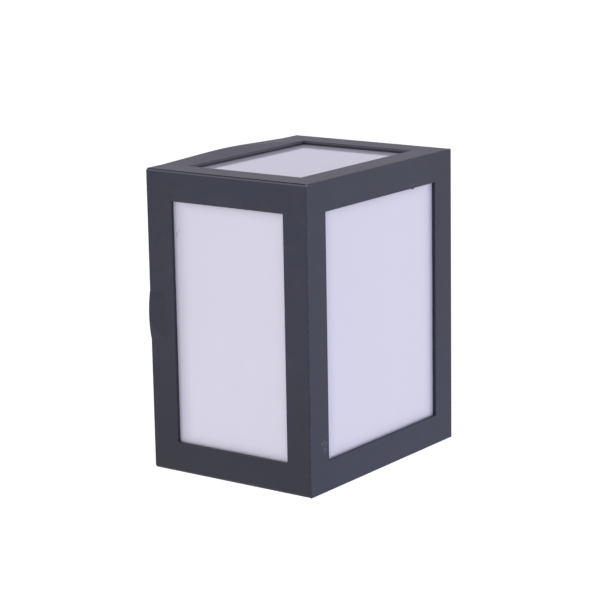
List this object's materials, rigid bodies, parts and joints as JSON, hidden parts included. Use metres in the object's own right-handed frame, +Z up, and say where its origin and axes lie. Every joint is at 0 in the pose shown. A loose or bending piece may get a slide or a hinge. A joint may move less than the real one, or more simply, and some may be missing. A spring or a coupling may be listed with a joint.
{
  "type": "outdoor wall lantern",
  "caption": "Cuboid outdoor wall light with a dark bar frame, opal panels on every open face and a built-in light source on a wall base.",
  "frame": {"origin": "middle of the rear face of the wall base, where it meets the wall", "axes": "+Y into the wall, so the lantern stands out towards -Y; +X to the right seen from the front; +Z up"},
  "size_m": [0.1682, 0.129, 0.2019],
  "materials": {
    "frame_moulding": "satin anthracite moulded plastic",
    "opal": "opal white diffusing plastic, satin",
    "base_moulding": "matt anthracite moulded plastic",
    "zinc_steel": "zinc plated, bright",
    "black_steel": "blackened stainless steel",
    "foam": "closed-cell foam, matt",
    "silicone": "grey silicone, satin",
    "grommet_rubber": "black rubber, satin",
    "white_sheet": "white powder coat, satin",
    "board_mask": "white solder mask on aluminium, gloss",
    "chip": "yellow phosphor in a white package",
    "connector_white": "white nylon, gloss",
    "driver_plastic": "white moulded plastic, satin",
    "circuit_board": "green circuit board, satin",
    "ferrite": "dark ferrite with yellow tape, matt",
    "can_sleeve": "dark shrink sleeve, gloss",
    "terminal_nylon": "ivory nylon, satin",
    "brass": "turned brass, bright",
    "lead_brown": "brown insulation, satin",
    "lead_blue": "blue insulation, satin",
    "lead_red": "red insulation, satin",
    "lead_black": "black insulation, satin"
  },
  "bodies": {
    "wall_base": {"rear_base": "base_moulding", "wall_gasket": "foam", "diffuser_seal": "silicone", "cable_grommet": "grommet_rubber", "led_tray": "white_sheet", "tray_screws": "zinc_steel", "lead_grommet": "grommet_rubber", "led_board": "board_mask", "led_chips": "chip", "board_screws": "zinc_steel", "board_connector": "connector_white", "driver_case": "driver_plastic", "driver_lid": "driver_plastic", "driver_board": "circuit_board", "driver_transformer": "ferrite", "driver_capacitors": "can_sleeve", "driver_screws": "zinc_steel", "terminal_block": "terminal_nylon", "terminal_sleeves": "brass", "terminal_screws": "zinc_steel", "block_screws": "zinc_steel", "cord_clamp": "base_moulding", "cord_clamp_screws": "zinc_steel", "live_lead": "lead_brown", "neutral_lead": "lead_blue", "led_lead_positive": "lead_red", "led_lead_negative": "lead_black"},
    "lantern_cage": {"main_frame": "frame_moulding", "side_frame_left": "frame_moulding", "side_frame_right": "frame_moulding", "side_frame_screws": "zinc_steel", "opal_diffuser": "opal", "retaining_nuts": "zinc_steel"},
    "left_retaining_screw": {"retaining_screw_left": "black_steel"},
    "right_retaining_screw": {"retaining_screw_right": "black_steel"}
  },
  "joints": [
    {"name": "cage_pull_off", "type": "slide", "parent": "wall_base", "child": "lantern_cage", "axis": [0, -1, 0], "range_m": [0, 0.06]},
    {"name": "left_screw_turn", "type": "hinge", "parent": "lantern_cage", "child": "left_retaining_screw", "pos_m": [-0.072, -0.009, -0.0999], "axis": [0, 0, -1], "continuous": true},
    {"name": "right_screw_turn", "type": "hinge", "parent": "lantern_cage", "child": "right_retaining_screw", "pos_m": [0.072, -0.009, -0.0999], "axis": [0, 0, -1], "continuous": true}
  ]
}
